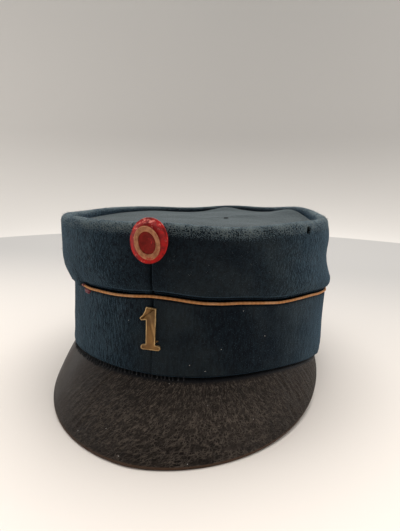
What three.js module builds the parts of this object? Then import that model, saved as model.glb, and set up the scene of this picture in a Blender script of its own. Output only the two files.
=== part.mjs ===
// A kepi cap at rest: a wool head band, a slouching wool crown with a rolled rim and a sunken top,
// a thin piping between band and crown, a steep leather visor, an oval cockade and a brass numeral.
// Millimetres, +Z up, the front towards -Y. The cap stands on the back of its band and the front
// edge of its visor. Angles go round the head from the front (0) to the +X side (90) and the back (180).

import * as THREE from 'three';

const RAD = Math.PI / 180;

// Driving dimensions.
const TILT = 8.4 * RAD; // how far the front is raised while the cap rests
const PRESSED = 0.6; // how far the cloth and leather give where they meet the surface
const CENTRE = { x: -2.3, y: -4.7 }; // the middle of the cap's box, seen from above, about the head's axis
const WOOL = 2; // thickness of the band, crown and top
const LEATHER = 2.2; // thickness of the visor
const GAP = 0.3; // clearance between neighbours
const COLUMNS = 72; // steps round the head

// The band's outside: an ellipse that widens a little from the lower edge to the piping.
const BAND = { halfLength: 100, halfWidth: 80.8, lengthGain: 2.5, widthGain: 0.9, height: 37.7 };

// The crown's rim lies in a plane that is higher at the back.
const RIM = { front: 72.9, back: 96, rollWidth: 8, rollHeight: 4, sink: 4.3 };
const PIPING_RADIUS = 0.7;

// The visor's edge, outward from the band's lower edge and down from it, at the front and at its ends.
const VISOR = { halfAngle: 84, reach: 24.7, drop: 31.6, endReach: -3.2, endDrop: 3, flange: 4, bow: 1.8 };
const VISOR_ROUNDNESS = { reach: 1.4, drop: 2.1 };

const COCKADE = { width: 18, height: 20.9, thickness: 4.2, level: 65, aside: -1.5, lean: 9 * RAD };
const NUMERAL = { height: 20.9, thickness: 1, level: 13.2, aside: -1.2 };

// How far the crown's outside stands proud of the band: rise goes from the piping (0) to the rim (1).
const SWELL = [
  { rise: 0.0, back: 0.8, left: 1.0, leftFront: 1.0, front: 0.8, rightFront: 0.8, right: 1.2 },
  { rise: 0.1, back: 2.4, left: 3.0, leftFront: 3.0, front: 2.4, rightFront: 2.4, right: 2.6 },
  { rise: 0.2, back: 3.0, left: 4.6, leftFront: 5.0, front: 3.2, rightFront: 3.0, right: 1.7 },
  { rise: 0.3, back: 3.4, left: 5.4, leftFront: 6.2, front: 3.7, rightFront: 2.9, right: 0.6 },
  { rise: 0.45, back: 3.6, left: 6.0, leftFront: 7.2, front: 4.1, rightFront: 2.4, right: -0.6 },
  { rise: 0.6, back: 3.8, left: 6.4, leftFront: 7.6, front: 4.6, rightFront: 2.2, right: -0.6 },
  { rise: 0.8, back: 4.0, left: 6.8, leftFront: 8.2, front: 5.0, rightFront: 2.4, right: 0.0 },
  { rise: 1.0, back: 3.6, left: 6.4, leftFront: 8.6, front: 4.6, rightFront: 2.8, right: -1.0 },
];
const STATIONS = [
  { angle: -180, column: 'back' },
  { angle: -90, column: 'left' },
  { angle: -54, column: 'leftFront' },
  { angle: 0, column: 'front' },
  { angle: 40, column: 'rightFront' },
  { angle: 88, column: 'right' },
  { angle: 180, column: 'back' },
];

// Soft waves: each row lifts an edge by so many millimetres about an angle.
const RIM_WAVES = [
  { angle: 4, width: 9, lift: 0.9 },
  { angle: 24, width: 12, lift: -1.0 },
  { angle: 52, width: 10, lift: 0.8 },
  { angle: 130, width: 14, lift: 3.0 },
  { angle: -150, width: 14, lift: -1.7 },
  { angle: -75, width: 12, lift: -0.9 },
  { angle: 180, width: 12, lift: 1.1 },
];
const PIPING_WAVES = [
  { angle: 1, width: 6, lift: 1.2 },
  { angle: 19, width: 6, lift: -0.6 },
  { angle: 42, width: 7, lift: -0.8 },
  { angle: 62, width: 9, lift: 0.7 },
  { angle: -46, width: 8, lift: 2.2 },
];
const EDGE_WAVES = [
  { angle: 42, width: 14, lift: 1.4 },
  { angle: 10, width: 12, lift: -0.4 },
  { angle: 95, width: 16, lift: -6 },
  { angle: -95, width: 16, lift: -3 },
];
const VISOR_WAVES = [{ angle: -58, width: 20, lift: -1.2 }];

// The head's outline bulges outward by so many millimetres about an angle.
const BULGES = [{ angle: -58, width: 20, lift: 1.4 }];

const smooth = (t) => t * t * (3 - 2 * t);
const clamp = THREE.MathUtils.clamp;
const lerp = THREE.MathUtils.lerp;

/** The sum of a table's waves at an angle. */
function waves(rows, angle) {
  let lift = 0;
  for (const row of rows) {
    const turn = THREE.MathUtils.euclideanModulo(angle - row.angle + 180, 360) - 180;
    lift += row.lift * Math.exp(-0.5 * (turn / row.width) ** 2);
  }
  return lift;
}

/** A column of the swell table at a rise, on a smooth curve through its rows. */
function swellColumn(column, rise) {
  const last = SWELL.length - 1;
  let low = 0;
  while (low < last - 1 && SWELL[low + 1].rise <= rise) low += 1;
  const slope = (i) => {
    const before = SWELL[Math.max(i - 1, 0)];
    const after = SWELL[Math.min(i + 1, last)];
    return (after[column] - before[column]) / (after.rise - before.rise);
  };
  const span = SWELL[low + 1].rise - SWELL[low].rise;
  const t = clamp((rise - SWELL[low].rise) / span, 0, 1);
  const blend = smooth(t);
  const start = SWELL[low][column] + slope(low) * span * t;
  const end = SWELL[low + 1][column] - slope(low + 1) * span * (1 - t);
  return lerp(start, end, blend);
}

/** How far the crown's outside stands proud of the band at a rise and an angle. */
function swell(rise, angle) {
  const turn = THREE.MathUtils.euclideanModulo(angle + 180, 360) - 180;
  let low = 0;
  while (STATIONS[low + 1].angle < turn) low += 1;
  const [a, b] = [STATIONS[low], STATIONS[low + 1]];
  const blend = smooth((turn - a.angle) / (b.angle - a.angle));
  return lerp(swellColumn(a.column, rise), swellColumn(b.column, rise), blend);
}

const edgeHeight = (angle) => waves(EDGE_WAVES, angle);
const pipingHeight = (angle) => BAND.height + waves(PIPING_WAVES, angle);
const rimHeight = (angle) =>
  lerp(RIM.front, RIM.back, (1 - Math.cos(angle * RAD)) / 2) + waves(RIM_WAVES, angle);

/** A point that stands proud of the band's outside by some distance, at a height above its lower edge. */
function onHead(angle, proud, height) {
  const share = clamp(height / BAND.height, 0, 1);
  const halfLength = BAND.halfLength + BAND.lengthGain * share;
  const halfWidth = BAND.halfWidth + BAND.widthGain * share;
  const sin = Math.sin(angle * RAD);
  const cos = Math.cos(angle * RAD);
  const normal = new THREE.Vector2(sin / halfWidth, -cos / halfLength).normalize();
  const outward = proud + waves(BULGES, angle);
  return new THREE.Vector3(
    halfWidth * sin + normal.x * outward,
    -halfLength * cos + normal.y * outward,
    height,
  );
}

/** Puts a point of the upright cap where it lies in the resting one. */
function settle(point) {
  const lift = BAND.halfLength * Math.sin(TILT) - PRESSED;
  return point.applyAxisAngle(new THREE.Vector3(1, 0, 0), -TILT).add(
    new THREE.Vector3(-CENTRE.x, -CENTRE.y, lift),
  );
}

/** Settles a point of a soft piece and flattens it against the surface. */
function settleSoft(point) {
  const settled = settle(point);
  settled.z = Math.max(settled.z, 0);
  return settled;
}

/** A ring round the head whose section is the closed loop that section(angle) gives. */
function headRing(section) {
  const corners = section(0).length;
  const loop = [];
  for (let k = 0; k <= corners; k += 1) {
    const turn = (-2 * Math.PI * k) / corners;
    loop.push(new THREE.Vector2(2 - Math.cos(turn), Math.sin(turn)));
  }
  return headLathe(loop, (column, k) => {
    const angle = (column * 360) / COLUMNS;
    const { proud, height } = section(angle)[k % corners];
    return onHead(angle, proud, height);
  });
}

/** A turned shape whose points are moved to where place(column, row) says. */
function headLathe(profile, place) {
  const geometry = new THREE.LatheGeometry(profile, COLUMNS);
  const position = geometry.attributes.position;
  for (let i = 0; i < position.count; i += 1) {
    const column = Math.floor(i / profile.length) % COLUMNS;
    const point = settleSoft(place(column, i % profile.length));
    position.setXYZ(i, point.x, point.y, point.z);
  }
  return geometry;
}

function bandGeometry() {
  const levels = [0, 0.25, 0.5, 0.75, 1];
  return headRing((angle) => {
    const top = pipingHeight(angle) - PIPING_RADIUS - GAP;
    const height = (level) => lerp(edgeHeight(angle), top, level);
    const outside = levels.map((level) => ({ proud: 0, height: height(level) }));
    const inside = levels.map((level) => ({ proud: -WOOL, height: height(level) }));
    return [...outside, ...inside.reverse()];
  });
}

function crownGeometry() {
  const rises = SWELL.map((row) => row.rise);
  const outerTurns = [20, 45, 70, 90, 110, 135, 160, 180];
  const innerTurns = [180, 135, 90, 45];
  return headRing((angle) => {
    const low = pipingHeight(angle) + PIPING_RADIUS + GAP;
    const high = rimHeight(angle) - RIM.rollHeight;
    const crest = swell(1, angle) - RIM.rollWidth / 2;
    const wall = (rise, inset) => ({
      proud: swell(rise, angle) - inset,
      height: lerp(low, high, rise),
    });
    const roll = (turn, inset) => ({
      proud: crest + (RIM.rollWidth / 2 - inset) * Math.cos(turn * RAD),
      height: high + (RIM.rollHeight - inset) * Math.sin(turn * RAD),
    });
    const hem = high - RIM.sink + RIM.rollHeight - WOOL - 2 * GAP;
    return [
      ...rises.map((rise) => wall(rise, 0)),
      ...outerTurns.map((turn) => roll(turn, 0)),
      { proud: crest - RIM.rollWidth / 2, height: hem },
      { proud: crest - RIM.rollWidth / 2 + WOOL, height: hem },
      ...innerTurns.map((turn) => roll(turn, WOOL)),
      ...[...rises].reverse().map((rise) => wall(rise, WOOL)),
    ];
  });
}

function crownTopGeometry() {
  const shares = [0, 0.35, 0.7, 1];
  const underside = shares.map((share) => new THREE.Vector2(share, 0));
  const upperside = shares.map((share) => new THREE.Vector2(share, 1));
  const profile = [...underside, ...upperside.reverse()];
  return headLathe(profile, (column, row) => {
    const angle = (column * 360) / COLUMNS;
    const { x: share, y: face } = profile[row];
    const middle = new THREE.Vector3(0, 0, lerp(RIM.front, RIM.back, 0.5));
    const edge = onHead(angle, swell(1, angle) - RIM.rollWidth - GAP, rimHeight(angle));
    const point = middle.lerp(edge, share);
    point.z -= RIM.sink + (1 - face) * WOOL;
    return point;
  });
}

function pipingGeometry() {
  const sides = 8;
  return headRing((angle) => {
    const loop = [];
    for (let k = 0; k < sides; k += 1) {
      const turn = ((k - sides / 4) * 2 * Math.PI) / sides;
      loop.push({
        proud: 0.1 + PIPING_RADIUS * Math.cos(turn),
        height: pipingHeight(angle) + PIPING_RADIUS * Math.sin(turn),
      });
    }
    return loop;
  });
}

/** The visor's upper face at an angle: a flange inside the band, a shoulder under it, then the slope. */
function visorFace(angle) {
  const share = Math.abs(angle) / VISOR.halfAngle;
  const tucked = smooth(clamp((share - 0.8) / 0.17, 0, 1));
  const inside = -WOOL - 0.5;
  const spread = 1 - share ** VISOR_ROUNDNESS.reach;
  const reach = lerp(VISOR.endReach, VISOR.reach, spread) + waves(VISOR_WAVES, angle) * spread;
  const drop = lerp(VISOR.endDrop, VISOR.drop, 1 - share ** VISOR_ROUNDNESS.drop);
  const neck = Math.max(edgeHeight(angle) - GAP - 0.1, 0.8 - drop);
  const shoulder = new THREE.Vector2(lerp(-0.4, inside - 0.1, tucked), neck);
  const edge = new THREE.Vector2(reach, -drop);
  const outward = new THREE.Vector2(shoulder.y - edge.y, edge.x - shoulder.x).normalize();
  const face = [
    new THREE.Vector2(inside, neck + 0.2 + VISOR.flange),
    new THREE.Vector2(inside, neck + 0.2),
    shoulder,
  ];
  for (const along of [0.12, 0.28, 0.46, 0.64, 0.82, 1]) {
    const bow = VISOR.bow * (1 - share) * 4 * along * (1 - along);
    face.push(shoulder.clone().lerp(edge, along).addScaledVector(outward, bow));
  }
  return face;
}

/** The point below a face's row by the leather's thickness, square to the face. */
function underFace(face, row) {
  const before = face[Math.max(row - 1, 0)];
  const after = face[Math.min(row + 1, face.length - 1)];
  const along = after.clone().sub(before).normalize();
  return face[row].clone().add(new THREE.Vector2(along.y, -along.x).multiplyScalar(LEATHER));
}

function visorGeometry() {
  const columns = 40;
  const rows = visorFace(0).length - 1;
  const geometry = new THREE.BoxGeometry(1, 1, 1, columns, rows, 1);
  const position = geometry.attributes.position;
  for (let i = 0; i < position.count; i += 1) {
    const column = Math.round((position.getX(i) + 0.5) * columns);
    const row = Math.round((0.5 - position.getY(i)) * rows);
    const angle = lerp(-VISOR.halfAngle, VISOR.halfAngle, column / columns);
    const face = visorFace(angle);
    const { x: proud, y: height } = position.getZ(i) > 0 ? face[row] : underFace(face, row);
    const point = onHead(angle, proud, 0);
    point.z = height;
    const settled = settleSoft(point);
    position.setXYZ(i, settled.x, settled.y, settled.z);
  }
  return geometry;
}

/** An oval badge, turned about +Z: a sloping flank, a raised ring and a dished middle. */
function cockadeGeometry() {
  const { width, height, thickness } = COCKADE;
  const profile = [
    [0, 0],
    [0.96, 0],
    [1, 0.1],
    [0.98, 0.24],
    [0.74, 0.82],
    [0.66, 0.97],
    [0.58, 0.97],
    [0.5, 0.78],
    [0, 0.9],
  ].map(([radius, depth]) => new THREE.Vector2((radius * width) / 2, depth * thickness));
  const geometry = new THREE.LatheGeometry(profile, 32);
  return geometry.rotateX(Math.PI / 2).scale(1, height / width, 1);
}

/** The numeral's outline, from its foot up, with a flag at the left of its head and a slab foot. */
function numeralGeometry() {
  const { height, thickness } = NUMERAL;
  const stem = { left: -2.4, right: 2.3 };
  const foot = { half: 4.9, height: 2.4, round: 0.8 };
  const flag = { tip: -5.7, top: 15.1, under: 14.1, waist: 18.4 };
  const bevel = 0.3;
  const outline = new THREE.Shape();
  outline.moveTo(-foot.half + foot.round, 0);
  outline.lineTo(foot.half - foot.round, 0);
  outline.quadraticCurveTo(foot.half, 0, foot.half, foot.height / 2);
  outline.quadraticCurveTo(foot.half, foot.height, foot.half - foot.round, foot.height);
  outline.lineTo(stem.right, foot.height + 0.3);
  outline.lineTo(stem.right + 0.2, height - 0.5);
  outline.lineTo(stem.left, height);
  outline.quadraticCurveTo(stem.left - 0.4, flag.waist, flag.tip, flag.top);
  outline.lineTo(flag.tip + 0.9, flag.under);
  outline.lineTo(stem.left, flag.under + 0.2);
  outline.lineTo(stem.left, foot.height + 0.3);
  outline.lineTo(-foot.half + foot.round, foot.height);
  outline.quadraticCurveTo(-foot.half, foot.height, -foot.half, foot.height / 2);
  outline.quadraticCurveTo(-foot.half, 0, -foot.half + foot.round, 0);
  return new THREE.ExtrudeGeometry(outline, {
    depth: thickness - bevel,
    bevelEnabled: true,
    bevelThickness: bevel,
    bevelSize: bevel,
    bevelOffset: -bevel,
    bevelSegments: 1,
    curveSegments: 4,
  });
}

/** Stands a badge, modelled facing +Z with its top at +Y, on the line of the front seam through two points. */
function mountOnSeam(mesh, lower, upper, { aside, lean = 0 }) {
  const up = upper.clone().sub(lower).normalize();
  const right = new THREE.Vector3(1, 0, 0);
  const outward = right.clone().cross(up);
  const frame = new THREE.Matrix4().makeBasis(right, up, outward);
  mesh.quaternion.setFromRotationMatrix(frame);
  mesh.rotateZ(lean);
  mesh.position.copy(lower).addScaledVector(right, aside);
}

function named(name, geometry, color, roughness, metalness) {
  const material = new THREE.MeshStandardMaterial({ color, roughness, metalness });
  const mesh = new THREE.Mesh(geometry, material);
  mesh.name = name;
  return mesh;
}

function cockade() {
  const mesh = named('cockade', cockadeGeometry(), '#a62a2a', 0.6, 0);
  const onCrown = (height) => {
    const low = pipingHeight(0);
    const rise = (height - low) / (rimHeight(0) - RIM.rollHeight - low);
    return settle(onHead(0, swell(rise, 0) + 0.9, height));
  };
  mountOnSeam(mesh, onCrown(COCKADE.level), onCrown(COCKADE.level + 4), COCKADE);
  return mesh;
}

function numeral() {
  const mesh = named('numeral_1', numeralGeometry(), '#a5793f', 0.35, 1);
  const onBand = (height) => settle(onHead(0, 0.7, height));
  mountOnSeam(mesh, onBand(NUMERAL.level), onBand(NUMERAL.level + 10), NUMERAL);
  return mesh;
}

const cap = new THREE.Group();
cap.add(
  named('band', bandGeometry(), '#1d3346', 0.95, 0),
  named('crown', crownGeometry(), '#1f3648', 0.95, 0),
  named('crown_top', crownTopGeometry(), '#4d6068', 0.95, 0),
  named('piping', pipingGeometry(), '#b8834c', 0.8, 0),
  named('visor', visorGeometry(), '#2b2724', 0.5, 0),
  cockade(),
  numeral(),
);

export default cap;
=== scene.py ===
"""A kepi cap at rest: felted wool band and crown, piping, a cracked leather visor, an oval cockade
and a brass numeral. The shape functions work in millimetres in the cap's upright frame, where angles
go round the head from the front (0) to the +X side (90), and settle() puts a point where it lies."""

import math
import random

import bmesh
import bpy
from mathutils import Matrix, Vector, noise


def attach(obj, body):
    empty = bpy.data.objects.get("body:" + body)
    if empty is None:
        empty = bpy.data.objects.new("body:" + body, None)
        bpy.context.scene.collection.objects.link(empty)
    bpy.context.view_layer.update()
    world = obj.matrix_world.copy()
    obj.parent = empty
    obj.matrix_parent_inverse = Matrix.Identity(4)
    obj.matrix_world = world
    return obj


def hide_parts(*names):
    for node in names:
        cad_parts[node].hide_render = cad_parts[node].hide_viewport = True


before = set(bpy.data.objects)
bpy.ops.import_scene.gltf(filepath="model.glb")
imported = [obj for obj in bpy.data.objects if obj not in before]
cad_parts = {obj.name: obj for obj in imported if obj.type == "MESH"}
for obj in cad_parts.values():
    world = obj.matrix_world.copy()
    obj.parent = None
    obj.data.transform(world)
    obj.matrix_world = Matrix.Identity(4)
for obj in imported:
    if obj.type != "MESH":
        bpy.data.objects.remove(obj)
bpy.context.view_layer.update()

MM = 0.001

# The cap's driving sizes, in millimetres, as in the part's source.
TILT = math.radians(8.4)
PRESSED = 0.6
CENTRE = Vector((-2.3, -4.7, 0.0))
WOOL = 2.0
LEATHER = 2.2
GAP = 0.3
BAND = {"half_length": 100, "half_width": 80.8, "length_gain": 2.5, "width_gain": 0.9, "height": 37.7}
RIM = {"front": 72.9, "back": 96, "roll_width": 8, "roll_height": 4, "sink": 4.3}
PIPING_RADIUS = 0.7
VISOR = {
    "half_angle": 84,
    "reach": 24.7,
    "drop": 31.6,
    "end_reach": -3.2,
    "end_drop": 3,
    "flange": 4,
    "bow": 1.8,
}
VISOR_ROUNDNESS = {"reach": 1.4, "drop": 2.1}
COCKADE = {"width": 18, "height": 20.9, "level": 65, "aside": -1.5, "lean": math.radians(9)}
NUMERAL = {"level": 13.2, "aside": -1.2}

# Mean radii of the head, the sunken top and the visor, for lengths measured round them.
HEAD_RADIUS = 91.0
TOP_RADIUS = 85.0
VISOR_RADIUS = 108.0

# How far the crown stands proud of the band, from the piping (rise 0) to the rim (rise 1), at the places
# round the head that STATIONS names.
SWELL_COLUMNS = ("rise", "back", "left", "left_front", "front", "right_front", "right")
SWELL_ROWS = (
    (0.0, 0.8, 1.0, 1.0, 0.8, 0.8, 1.2),
    (0.1, 2.4, 3.0, 3.0, 2.4, 2.4, 2.6),
    (0.2, 3.0, 4.6, 5.0, 3.2, 3.0, 1.7),
    (0.3, 3.4, 5.4, 6.2, 3.7, 2.9, 0.6),
    (0.45, 3.6, 6.0, 7.2, 4.1, 2.4, -0.6),
    (0.6, 3.8, 6.4, 7.6, 4.6, 2.2, -0.6),
    (0.8, 4.0, 6.8, 8.2, 5.0, 2.4, 0.0),
    (1.0, 3.6, 6.4, 8.6, 4.6, 2.8, -1.0),
)
SWELL = [dict(zip(SWELL_COLUMNS, row)) for row in SWELL_ROWS]
STATIONS = (
    (-180, "back"),
    (-90, "left"),
    (-54, "left_front"),
    (0, "front"),
    (40, "right_front"),
    (88, "right"),
    (180, "back"),
)

# Soft waves: each row (angle, width, lift) lifts an edge by so many millimetres about an angle.
RIM_WAVES = (
    (4, 9, 0.9),
    (24, 12, -1.0),
    (52, 10, 0.8),
    (130, 14, 3.0),
    (-150, 14, -1.7),
    (-75, 12, -0.9),
    (180, 12, 1.1),
)
PIPING_WAVES = ((1, 6, 1.2), (19, 6, -0.6), (42, 7, -0.8), (62, 9, 0.7), (-46, 8, 2.2))
EDGE_WAVES = ((42, 14, 1.4), (10, 12, -0.4), (95, 16, -6), (-95, 16, -3))
VISOR_WAVES = ((-58, 20, -1.2),)
BULGES = ((-58, 20, 1.4),)

# The crown's lower edge sags over the piping between these angles, and elsewhere it is tucked in above it.
SAG = {"start": -33, "full": -37.5, "ends": -85, "drop": 2.5, "out": 0.9}
TUCK = {"depth": 1.4, "height": 0.9}

# The sunken top's edge rises against the rim at some places: (angle, width, lift).
TOP_WAVES = ((-175, 7, 2.7), (131, 9, 1.9), (-122, 10, 0.5), (30, 14, 0.6))

# The dark opening under the crown's lower edge is wider at the front: (angle, width, lift).
LIP_WAVES = ((-19, 9, 0.6), (8, 12, 0.35), (36, 14, 0.5), (70, 14, 0.2))

# The band's lower edge curls in at the sides: (angle, width, how far).
CURL_WAVES = ((76, 9, 1.6), (-70, 8, 0.5))

# How high the wool's nap stands: rubbed flat at the front, laid down by a share past an angle towards the
# back, and for the -X and the +X side of each piece (rises from, full at, height). A higher nap also lightens
# the cloth's colour, so the raised sides, the band's -X side most, are partly painted side light.
NAP = {
    "flat": 0.28,
    "laid": 0.45,
    "laid_past": 95,
    "laid_over": 40,
    "band": ((0, 20, 1.35), (36, 90, 0.75)),
    "crown": ((-2, 22, 1.0), (26, 52, 1.0)),
}

# How worn the cloth is at the top of the crown's wall, from a share of its rise, and what the rolled rim
# loses again on its inner side.
WEAR = {"from": 0.87, "wall": 0.7, "inner": 0.7}

# The front seam's groove, across and deep, and the puffed cloth on either side of it.
SEAM = {"aside": -0.9, "half_width": 0.52, "depth": 1.4, "puff_width": 4.5, "puff": 0.45}

# Moth holes near the crown's rim: angle, height above the band's lower edge, radius and depth, then the rise
# that they are at and how far from it they reach into the cloth.
HOLES = (
    {"angle": 54.1, "height": 73.8, "radius": 2.15, "depth": 1.8},
    {"angle": 60.2, "height": 72.5, "radius": 0.9, "depth": 0.7},
)
HOLE_RISE = 0.97
HOLE_REACH = 1.6


def clamp(share):
    return max(0.0, min(1.0, share))


def lerp(a, b, share):
    return a + (b - a) * share


def smooth(share):
    share = clamp(share)
    return share * share * (3 - 2 * share)


def bell(distance, width):
    return math.exp(-0.5 * (distance / width) ** 2)


def turn_between(angle, other):
    """The signed turn from one angle to another, from -180 to 180."""
    return (angle - other + 180) % 360 - 180


def waves(rows, angle):
    return sum(lift * bell(turn_between(angle, centre), width) for centre, width, lift in rows)


def swell_column(column, rise):
    """A column of the swell table at a rise, on a smooth curve through its rows."""
    last = len(SWELL) - 1
    low = 0
    while low < last - 1 and SWELL[low + 1]["rise"] <= rise:
        low += 1

    def slope(row):
        before, after = SWELL[max(row - 1, 0)], SWELL[min(row + 1, last)]
        return (after[column] - before[column]) / (after["rise"] - before["rise"])

    span = SWELL[low + 1]["rise"] - SWELL[low]["rise"]
    share = clamp((rise - SWELL[low]["rise"]) / span)
    start = SWELL[low][column] + slope(low) * span * share
    end = SWELL[low + 1][column] - slope(low + 1) * span * (1 - share)
    return lerp(start, end, smooth(share))


def swell(rise, angle):
    """How far the crown's outside stands proud of the band at a rise and an angle."""
    turn = turn_between(angle, 0)
    low = 0
    while STATIONS[low + 1][0] < turn:
        low += 1
    (start, before), (end, after) = STATIONS[low], STATIONS[low + 1]
    share = smooth((turn - start) / (end - start))
    return lerp(swell_column(before, rise), swell_column(after, rise), share)


def edge_height(angle):
    return waves(EDGE_WAVES, angle)


def piping_height(angle):
    return BAND["height"] + waves(PIPING_WAVES, angle)


def rim_height(angle):
    share = (1 - math.cos(math.radians(angle))) / 2
    return lerp(RIM["front"], RIM["back"], share) + waves(RIM_WAVES, angle)


def outward_normal(angle):
    turn = math.radians(angle)
    across = math.sin(turn) / BAND["half_width"]
    return Vector((across, -math.cos(turn) / BAND["half_length"], 0)).normalized()


def on_head(angle, proud, height):
    """A point that stands proud of the band's outside, at a height above its lower edge."""
    share = clamp(height / BAND["height"])
    half_length = BAND["half_length"] + BAND["length_gain"] * share
    half_width = BAND["half_width"] + BAND["width_gain"] * share
    turn = math.radians(angle)
    foot = Vector((half_width * math.sin(turn), -half_length * math.cos(turn), height))
    normal = Vector((foot.x / half_width**2, foot.y / half_length**2, 0)).normalized()
    return foot + normal * (proud + waves(BULGES, angle))


SETTLED = Matrix.Translation(
    Vector((-CENTRE.x, -CENTRE.y, BAND["half_length"] * math.sin(TILT) - PRESSED))
) @ Matrix.Rotation(-TILT, 4, "X")


def settle(point):
    """Puts a point of the upright cap where it lies in the resting one, in metres."""
    lying = SETTLED @ point
    lying.z = max(lying.z, 0.0)
    return lying * MM


def uneven(x, y, z):
    """Smooth noise, from about -1 to 1."""
    return noise.noise(Vector((x, y, z)))


def relief(point):
    """The soft unevenness of worn felted cloth, in millimetres."""
    broad = noise.noise(point / 24)
    small = noise.noise(Vector((point.x / 6, point.y / 6, point.z / 9)) + Vector((7, 3, 1)))
    fine = uneven(point.x / 1.9, point.y / 1.9, point.z / 3.4)
    return 0.5 * broad + 0.16 * small + 0.07 * fine


def seam_relief(angle, height):
    """The front seam's groove between two puffed edges, in millimetres, and how deep in it a point is.
    It is pressed flat towards the band's lower edge."""
    across = math.radians(turn_between(angle, 0)) * BAND["half_width"] - SEAM["aside"]
    pressed = lerp(0.25, 1.0, smooth((height - 8) / 16))
    groove = bell(across, SEAM["half_width"] * 0.6) * pressed
    puff = bell(abs(across) - SEAM["puff_width"] * 0.5, SEAM["puff_width"] * 0.4) * pressed
    return SEAM["puff"] * puff - SEAM["depth"] * groove, groove


# The steps between the cloth's columns, in degrees, usually and at the front seam.
CLOTH_STEPS = (1.15, 0.28)


def head_columns(step, front_step):
    """Angles round the whole head, close together at the front seam."""
    angles = [0.0]
    while angles[-1] < 180 - step * 0.75:
        near = bell(angles[-1], 2.2)
        wide = bell(angles[-1], 30)
        angles.append(angles[-1] + lerp(lerp(step, step * 0.8, wide), front_step, near))
    back = [-angle for angle in reversed(angles[1:])]
    return angles + [180.0] + [360 + angle for angle in back]


def shares(count, start=0.0, end=1.0):
    return [lerp(start, end, step / (count - 1)) for step in range(count)]


def folded_edge(proud, height, start, groove):
    """The corners of a cloth's folded edge, half a turn about a place, from an angle in degrees that counts
    from outward towards up. Each corner carries the share of painted shade given as groove."""
    corners = []
    for step in range(1, 6):
        swing = math.radians(lerp(start, start + 180, step / 6))
        aside, up = WOOL / 2 * math.cos(swing), WOOL / 2 * math.sin(swing)
        corners.append((proud + aside, height + up, 0.0, groove))
    return corners


# ---------------------------------------------------------------- making meshes


def open_line(bm, points):
    """Adds a line of joined vertices through some points, and returns them."""
    line = [bmesh.ops.create_vert(bm, co=points[0])["vert"][0]]
    for point in points[1:]:
        made = bmesh.ops.extrude_vert_indiv(bm, verts=[line[-1]])["verts"][0]
        made.co = point
        line.append(made)
    return line


def spin_about_z(bm, angle, steps, merge):
    bmesh.ops.spin(
        bm, geom=bm.verts[:] + bm.edges[:], cent=(0, 0, 0), axis=(0, 0, 1), dvec=(0, 0, 0),
        angle=angle, steps=steps, use_merge=merge, use_duplicate=False, use_normal_flip=False,
    )


def spun(sections, place, closed_section=True, sweep=360, radius=HEAD_RADIUS):
    """Spins a loop, or an open line, with as many corners as a section has, through as many columns as
    there are sections, then puts each corner where place(column, corner) says. Returns the bmesh with a
    UV map in metres: u runs along the columns at the radius given, v across the section."""
    full_turn = sweep == 360
    corners = len(sections[0])
    columns = len(sections)
    bm = bmesh.new()
    corner_layer = bm.verts.layers.int.new("corner")
    column_layer = bm.verts.layers.int.new("column")
    if closed_section:
        upright = Matrix.Translation((0, -1, 0)) @ Matrix.Rotation(math.pi / 2, 4, "Y")
        loop = bmesh.ops.create_circle(bm, segments=corners, radius=0.5, matrix=upright)["verts"]
    else:
        loop = open_line(bm, [Vector((0, -1, step / corners)) for step in range(corners)])
    for index, vert in enumerate(loop):
        vert[corner_layer] = index
    steps = columns if full_turn else columns - 1
    whole = math.tau if full_turn else math.pi
    spin_about_z(bm, whole, steps, full_turn)
    for vert in bm.verts:
        turn = math.atan2(vert.co.x, -vert.co.y) % math.tau
        column = round(turn / whole * steps)
        vert[column_layer] = column % columns if full_turn else min(column, columns - 1)
    for vert in bm.verts:
        vert.co = place(vert[column_layer], vert[corner_layer])
    unwrap(bm, sections, closed_section, full_turn, math.radians(sweep) * radius / steps)
    return bm


def unwrap(bm, sections, closed_section, full_turn, column_step):
    """The UV map that spun() gives its mesh, unbroken across the first column and corner."""
    corner_layer = bm.verts.layers.int["corner"]
    column_layer = bm.verts.layers.int["column"]
    uv_layer = bm.loops.layers.uv.new("UVMap")
    columns, corners = len(sections), len(sections[0])
    usual = [Vector(row[:2]) for row in sections[columns // 2]]
    lengths = [0.0]
    for before, after in zip(usual, usual[1:] + usual[:1]):
        lengths.append(lengths[-1] + (after - before).length)
    for face in bm.faces:
        in_columns = [loop.vert[column_layer] for loop in face.loops]
        in_corners = [loop.vert[corner_layer] for loop in face.loops]
        for loop, column, corner in zip(face.loops, in_columns, in_corners):
            if full_turn and column == 0 and max(in_columns) > 1:
                column = columns
            if closed_section and corner == 0 and max(in_corners) > 1:
                corner = corners
            loop[uv_layer].uv = (column * column_step * MM, lengths[corner] * MM)


def mark(bm, name, share_of):
    """A share from 0 to 1 for every vertex, which a material reads as an attribute."""
    layer = bm.verts.layers.float.new(name)
    corner_layer = bm.verts.layers.int["corner"]
    column_layer = bm.verts.layers.int["column"]
    for vert in bm.verts:
        vert[layer] = share_of(vert[column_layer], vert[corner_layer])


def mesh_object(name, bm, materials):
    """Turns a bmesh into an object with smooth faces that look outwards, and frees it."""
    bmesh.ops.recalc_face_normals(bm, faces=bm.faces[:])
    for face in bm.faces:
        face.smooth = True
    mesh = bpy.data.meshes.new(name)
    bm.to_mesh(mesh)
    bm.free()
    for material in materials:
        mesh.materials.append(material)
    made = bpy.data.objects.new(name, mesh)
    bpy.context.scene.collection.objects.link(made)
    return made


def piece(name, bm, materials, replaces=(), weld=0.0):
    """Turns a bmesh into a finished piece that rides on the cap."""
    if weld:
        bmesh.ops.remove_doubles(bm, verts=bm.verts[:], dist=weld)
    made = mesh_object(name, bm, materials)
    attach(made, "root")
    if replaces:
        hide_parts(*replaces)


# ---------------------------------------------------------------- cloth


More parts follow.
